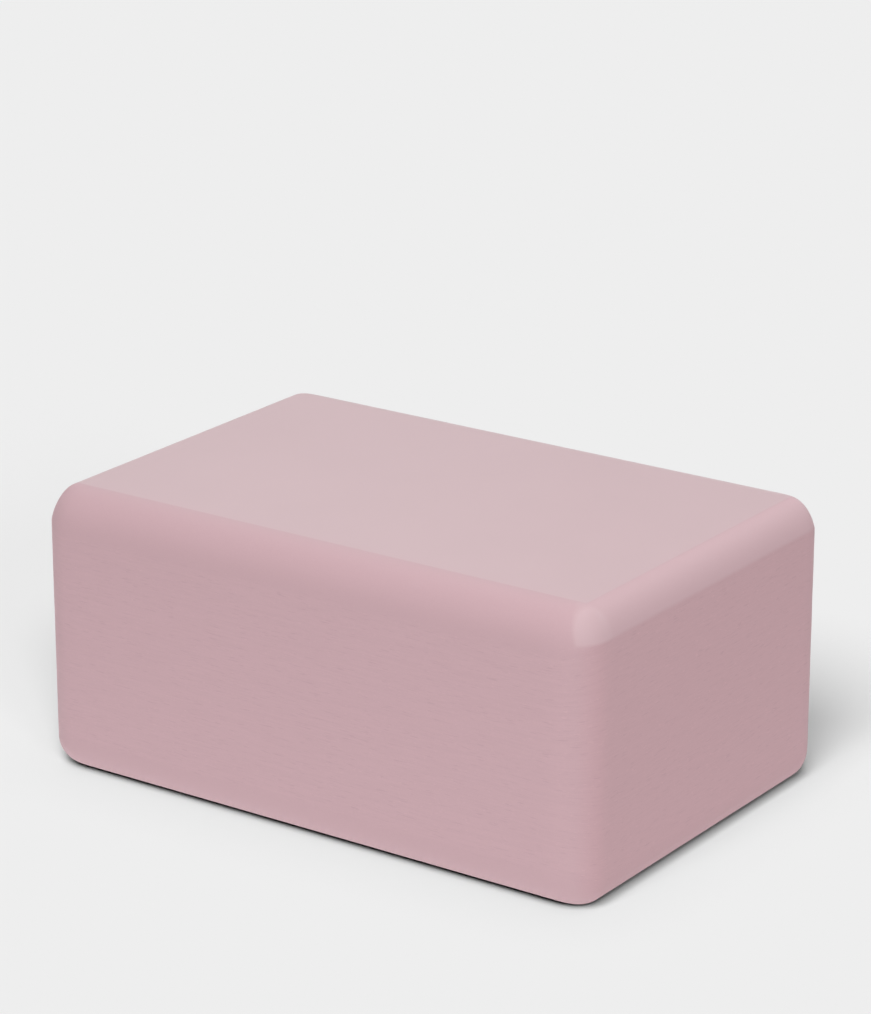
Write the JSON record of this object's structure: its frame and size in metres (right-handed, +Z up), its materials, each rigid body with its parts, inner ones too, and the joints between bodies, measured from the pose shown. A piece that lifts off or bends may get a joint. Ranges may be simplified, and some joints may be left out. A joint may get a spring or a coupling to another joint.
{
  "type": "yoga block",
  "caption": "Solid rectangular block of firm foam with rounded edges and corners, a support for hands, feet or back that stands on any of its faces.",
  "frame": {"origin": "middle of the broad face that the block lies on", "axes": "+X along the length, +Y across the width away from the viewer, +Z up through the thickness"},
  "size_m": [0.2222, 0.1524, 0.1016],
  "materials": {
    "foam": "matte"
  },
  "bodies": {
    "root": {"foam_block": "foam"}
  },
  "joints": []
}
